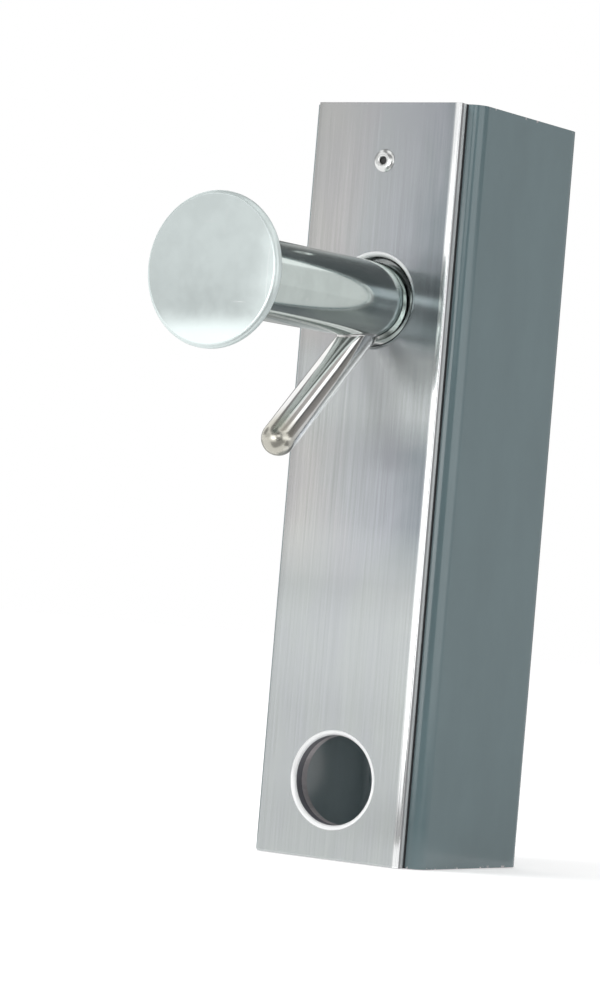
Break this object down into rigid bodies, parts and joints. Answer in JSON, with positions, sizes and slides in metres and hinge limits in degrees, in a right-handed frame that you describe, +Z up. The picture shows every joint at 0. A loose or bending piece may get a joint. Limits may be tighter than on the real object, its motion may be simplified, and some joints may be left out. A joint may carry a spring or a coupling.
{
  "type": "rack upright with bar catch",
  "caption": "Square painted rack upright section with a brushed wear plate and a round chrome bar catch, which turns in its bushes and pulls out by a slanted handle.",
  "frame": {"origin": "on the axis of the lower catch hole, in the plane where the wear plate lies on the tube's front wall", "axes": "+Z up the upright, -Y out of the wear plate towards the user, +X to the right when facing the plate"},
  "size_m": [0.0636, 0.1636, 0.2409],
  "materials": {
    "blue_grey_paint": "satin powder coat",
    "brushed_stainless": "brushed along its length",
    "rivet_aluminium": "bright",
    "dark_steel": "phosphated",
    "black_nylon": "matt",
    "chrome": "polished",
    "satin_chrome": "satin, with fine scratches",
    "zinc_steel": "zinc plated"
  },
  "bodies": {
    "upright": {"upright_tube": "blue_grey_paint", "wear_plate": "brushed_stainless", "rivet_shell": "rivet_aluminium", "rivet_mandrel": "dark_steel"},
    "guide": {"hole_bush": "dark_steel", "rear_bush": "black_nylon"},
    "catch": {"catch_bar": "chrome", "end_disc": "satin_chrome", "disc_stud": "zinc_steel", "pull_handle": "chrome", "retaining_rings": "dark_steel", "end_washer": "zinc_steel", "end_screw": "zinc_steel"}
  },
  "joints": [
    {"name": "catch_pull", "type": "slide", "parent": "upright", "child": "guide", "axis": [0, -1, 0], "range_m": [0, 0.078]},
    {"name": "catch_turn", "type": "hinge", "parent": "guide", "child": "catch", "pos_m": [0, 0.012, 0.1524], "axis": [0, -1, 0], "continuous": true}
  ]
}
